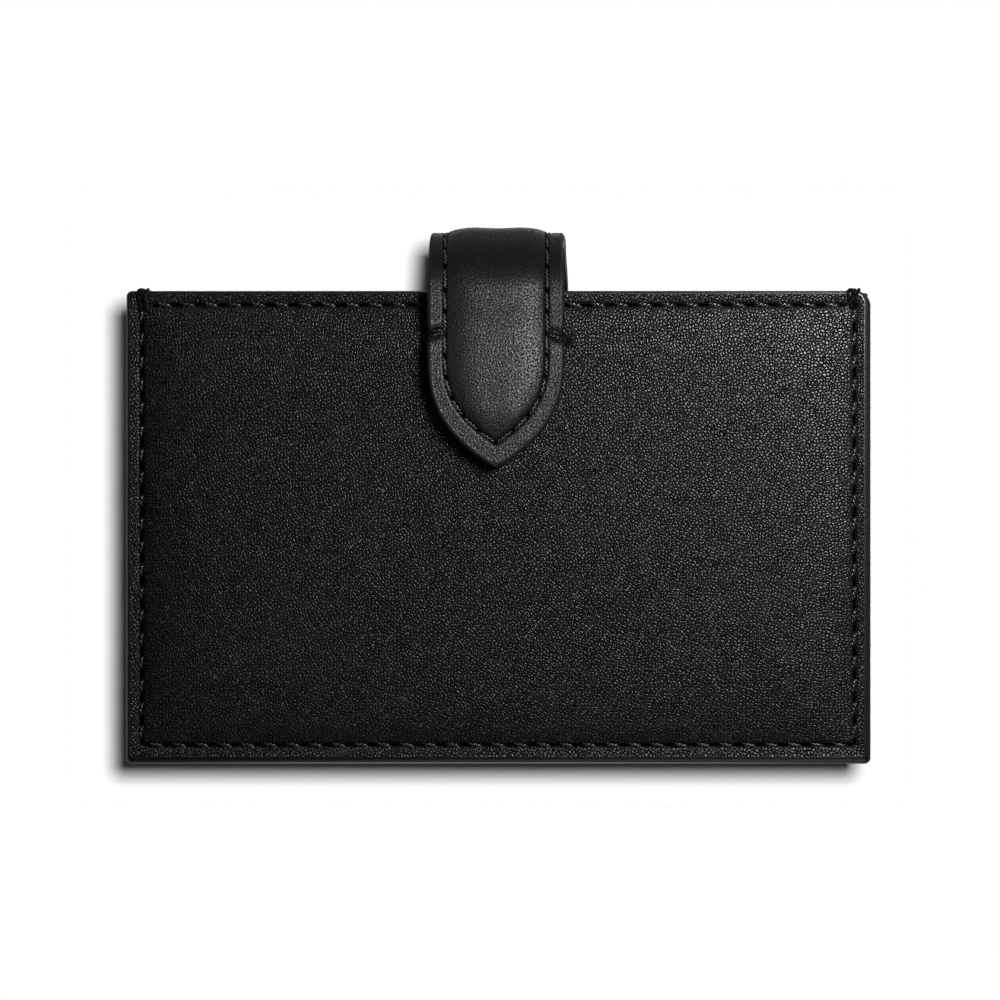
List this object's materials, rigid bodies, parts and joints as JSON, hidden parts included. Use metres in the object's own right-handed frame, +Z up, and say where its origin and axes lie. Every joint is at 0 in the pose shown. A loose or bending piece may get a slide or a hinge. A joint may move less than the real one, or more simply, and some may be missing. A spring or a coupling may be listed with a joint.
{
  "type": "accordion card holder",
  "caption": "Leather card case whose gusseted pockets fan open like an accordion, closed by a padded strap sewn to the back panel and pressed onto a stud at the front.",
  "frame": {"origin": "on the surface the case stands on, under the middle of the whole closed model", "axes": "+X to the right of the back panel as it is seen from outside, +Y from the back panel, which carries the sewn strap end, to the front panel with the press stud, +Z up out of the pockets"},
  "size_m": [0.1042, 0.0294, 0.075],
  "materials": {
    "panel_leather": "black pebbled leather, satin",
    "strap_leather": "black fine-grained leather, satin",
    "lining_leather": "smooth black lining leather, matt",
    "gusset_leather": "thin black gusset leather, matt",
    "board": "grey-brown fibre board",
    "padding": "thin foam",
    "snap_metal": "nickel plated, polished"
  },
  "bodies": {
    "middle_divider": {"divider_2": "lining_leather", "ridge_2_left": "gusset_leather", "ridge_2_right": "gusset_leather", "pocket_floor_2": "lining_leather", "pocket_floor_3": "lining_leather"},
    "back_divider": {"divider_1": "lining_leather", "ridge_1_left": "gusset_leather", "ridge_1_right": "gusset_leather", "pocket_floor_1": "lining_leather"},
    "back_panel": {"back_leather": "panel_leather", "back_padding": "padding", "back_board": "board", "back_lining": "lining_leather", "flange_back_left": "gusset_leather", "flange_back_right": "gusset_leather", "strap_anchor_leather": "strap_leather", "strap_anchor_lining": "lining_leather", "strap_anchor_padding": "padding"},
    "front_divider": {"divider_3": "lining_leather", "ridge_3_left": "gusset_leather", "ridge_3_right": "gusset_leather", "pocket_floor_4": "lining_leather"},
    "front_panel": {"front_leather": "panel_leather", "front_padding": "padding", "front_board": "board", "front_lining": "lining_leather", "flange_front_left": "gusset_leather", "flange_front_right": "gusset_leather", "snap_stud": "snap_metal", "snap_post": "snap_metal"},
    "strap_rear_arch": {"strap_rear_arch_leather": "strap_leather", "strap_rear_arch_lining": "lining_leather", "strap_rear_arch_padding": "padding"},
    "strap_fore_arch": {"strap_fore_arch_leather": "strap_leather", "strap_fore_arch_lining": "lining_leather", "strap_fore_arch_padding": "padding"},
    "strap_tab": {"strap_tab_leather": "strap_leather", "strap_tab_lining": "lining_leather", "strap_tab_padding": "padding", "snap_cap": "snap_metal", "snap_socket": "snap_metal"},
    "gusset_1_left_rear": {"gusset_1_left_rear": "gusset_leather"},
    "gusset_1_left_fore": {"gusset_1_left_fore": "gusset_leather"},
    "gusset_1_right_rear": {"gusset_1_right_rear": "gusset_leather"},
    "gusset_1_right_fore": {"gusset_1_right_fore": "gusset_leather"},
    "gusset_2_left_rear": {"gusset_2_left_rear": "gusset_leather"},
    "gusset_2_left_fore": {"gusset_2_left_fore": "gusset_leather"},
    "gusset_2_right_rear": {"gusset_2_right_rear": "gusset_leather"},
    "gusset_2_right_fore": {"gusset_2_right_fore": "gusset_leather"},
    "gusset_3_left_rear": {"gusset_3_left_rear": "gusset_leather"},
    "gusset_3_left_fore": {"gusset_3_left_fore": "gusset_leather"},
    "gusset_3_right_rear": {"gusset_3_right_rear": "gusset_leather"},
    "gusset_3_right_fore": {"gusset_3_right_fore": "gusset_leather"},
    "gusset_4_left_rear": {"gusset_4_left_rear": "gusset_leather"},
    "gusset_4_left_fore": {"gusset_4_left_fore": "gusset_leather"},
    "gusset_4_right_rear": {"gusset_4_right_rear": "gusset_leather"},
    "gusset_4_right_fore": {"gusset_4_right_fore": "gusset_leather"}
  },
  "joints": [
    {"name": "tab_peel", "type": "hinge", "parent": "strap_fore_arch", "child": "strap_tab", "pos_m": [0, 0.00836, 0.07291], "axis": [1, 0, 0], "range_deg": [0, 100]},
    {"name": "strap_unroll", "type": "hinge", "parent": "strap_rear_arch", "child": "strap_fore_arch", "pos_m": [0, -0.00158, 0.07504], "axis": [1, 0, 0], "range_deg": [0, 60]},
    {"name": "strap_lift", "type": "hinge", "parent": "back_panel", "child": "strap_rear_arch", "pos_m": [0, -0.01346, 0.06862], "axis": [1, 0, 0], "range_deg": [0, 20]},
    {"name": "pocket_1_open", "type": "hinge", "parent": "back_divider", "child": "back_panel", "pos_m": [0, -0.00653, 0.003], "axis": [1, 0, 0], "range_deg": [0, 8]},
    {"name": "pocket_2_open", "type": "hinge", "parent": "middle_divider", "child": "back_divider", "pos_m": [0, -0.00323, 0.003], "axis": [1, 0, 0], "range_deg": [0, 8]},
    {"name": "pocket_3_open", "type": "hinge", "parent": "middle_divider", "child": "front_divider", "pos_m": [0, 0.00007, 0.003], "axis": [-1, 0, 0], "range_deg": [0, 8]},
    {"name": "pocket_4_open", "type": "hinge", "parent": "front_divider", "child": "front_panel", "pos_m": [0, 0.00337, 0.003], "axis": [-1, 0, 0], "range_deg": [0, 8]},
    {"name": "gusset_1_left_rear_fold", "type": "hinge", "parent": "back_panel", "child": "gusset_1_left_rear", "pos_m": [-0.0501, -0.00703, 0.003], "axis": [0, 0, 1], "range_deg": [0, 42]},
    {"name": "gusset_1_left_fore_fold", "type": "hinge", "parent": "back_divider", "child": "gusset_1_left_fore", "pos_m": [-0.0501, -0.00603, 0.003], "axis": [0, 0, -1], "range_deg": [0, 42]},
    {"name": "gusset_1_right_rear_fold", "type": "hinge", "parent": "back_panel", "child": "gusset_1_right_rear", "pos_m": [0.0501, -0.00703, 0.003], "axis": [0, 0, -1], "range_deg": [0, 42]},
    {"name": "gusset_1_right_fore_fold", "type": "hinge", "parent": "back_divider", "child": "gusset_1_right_fore", "pos_m": [0.0501, -0.00603, 0.003], "axis": [0, 0, 1], "range_deg": [0, 42]},
    {"name": "gusset_2_left_rear_fold", "type": "hinge", "parent": "back_divider", "child": "gusset_2_left_rear", "pos_m": [-0.0501, -0.00373, 0.003], "axis": [0, 0, 1], "range_deg": [0, 42]},
    {"name": "gusset_2_left_fore_fold", "type": "hinge", "parent": "middle_divider", "child": "gusset_2_left_fore", "pos_m": [-0.0501, -0.00273, 0.003], "axis": [0, 0, -1], "range_deg": [0, 42]},
    {"name": "gusset_2_right_rear_fold", "type": "hinge", "parent": "back_divider", "child": "gusset_2_right_rear", "pos_m": [0.0501, -0.00373, 0.003], "axis": [0, 0, -1], "range_deg": [0, 42]},
    {"name": "gusset_2_right_fore_fold", "type": "hinge", "parent": "middle_divider", "child": "gusset_2_right_fore", "pos_m": [0.0501, -0.00273, 0.003], "axis": [0, 0, 1], "range_deg": [0, 42]},
    {"name": "gusset_3_left_rear_fold", "type": "hinge", "parent": "middle_divider", "child": "gusset_3_left_rear", "pos_m": [-0.0501, -0.00043, 0.003], "axis": [0, 0, 1], "range_deg": [0, 42]},
    {"name": "gusset_3_left_fore_fold", "type": "hinge", "parent": "front_divider", "child": "gusset_3_left_fore", "pos_m": [-0.0501, 0.00057, 0.003], "axis": [0, 0, -1], "range_deg": [0, 42]},
    {"name": "gusset_3_right_rear_fold", "type": "hinge", "parent": "middle_divider", "child": "gusset_3_right_rear", "pos_m": [0.0501, -0.00043, 0.003], "axis": [0, 0, -1], "range_deg": [0, 42]},
    {"name": "gusset_3_right_fore_fold", "type": "hinge", "parent": "front_divider", "child": "gusset_3_right_fore", "pos_m": [0.0501, 0.00057, 0.003], "axis": [0, 0, 1], "range_deg": [0, 42]},
    {"name": "gusset_4_left_rear_fold", "type": "hinge", "parent": "front_divider", "child": "gusset_4_left_rear", "pos_m": [-0.0501, 0.00287, 0.003], "axis": [0, 0, 1], "range_deg": [0, 42]},
    {"name": "gusset_4_left_fore_fold", "type": "hinge", "parent": "front_panel", "child": "gusset_4_left_fore", "pos_m": [-0.0501, 0.00387, 0.003], "axis": [0, 0, -1], "range_deg": [0, 42]},
    {"name": "gusset_4_right_rear_fold", "type": "hinge", "parent": "front_divider", "child": "gusset_4_right_rear", "pos_m": [0.0501, 0.00287, 0.003], "axis": [0, 0, -1], "range_deg": [0, 42]},
    {"name": "gusset_4_right_fore_fold", "type": "hinge", "parent": "front_panel", "child": "gusset_4_right_fore", "pos_m": [0.0501, 0.00387, 0.003], "axis": [0, 0, 1], "range_deg": [0, 42]}
  ],
  "couplings": [
    {"joint": "tab_peel", "follows": "pocket_2_open", "ratio": 12.5},
    {"joint": "strap_unroll", "follows": "pocket_2_open", "ratio": 7.5},
    {"joint": "strap_lift", "follows": "pocket_2_open", "ratio": 2.5},
    {"joint": "pocket_1_open", "follows": "pocket_2_open", "ratio": 1},
    {"joint": "pocket_3_open", "follows": "pocket_2_open", "ratio": 1},
    {"joint": "pocket_4_open", "follows": "pocket_2_open", "ratio": 1},
    {"joint": "gusset_1_left_rear_fold", "follows": "pocket_2_open", "ratio": 5.25},
    {"joint": "gusset_1_left_fore_fold", "follows": "pocket_2_open", "ratio": 5.25},
    {"joint": "gusset_1_right_rear_fold", "follows": "pocket_2_open", "ratio": 5.25},
    {"joint": "gusset_1_right_fore_fold", "follows": "pocket_2_open", "ratio": 5.25},
    {"joint": "gusset_2_left_rear_fold", "follows": "pocket_2_open", "ratio": 5.25},
    {"joint": "gusset_2_left_fore_fold", "follows": "pocket_2_open", "ratio": 5.25},
    {"joint": "gusset_2_right_rear_fold", "follows": "pocket_2_open", "ratio": 5.25},
    {"joint": "gusset_2_right_fore_fold", "follows": "pocket_2_open", "ratio": 5.25},
    {"joint": "gusset_3_left_rear_fold", "follows": "pocket_2_open", "ratio": 5.25},
    {"joint": "gusset_3_left_fore_fold", "follows": "pocket_2_open", "ratio": 5.25},
    {"joint": "gusset_3_right_rear_fold", "follows": "pocket_2_open", "ratio": 5.25},
    {"joint": "gusset_3_right_fore_fold", "follows": "pocket_2_open", "ratio": 5.25},
    {"joint": "gusset_4_left_rear_fold", "follows": "pocket_2_open", "ratio": 5.25},
    {"joint": "gusset_4_left_fore_fold", "follows": "pocket_2_open", "ratio": 5.25},
    {"joint": "gusset_4_right_rear_fold", "follows": "pocket_2_open", "ratio": 5.25},
    {"joint": "gusset_4_right_fore_fold", "follows": "pocket_2_open", "ratio": 5.25}
  ]
}
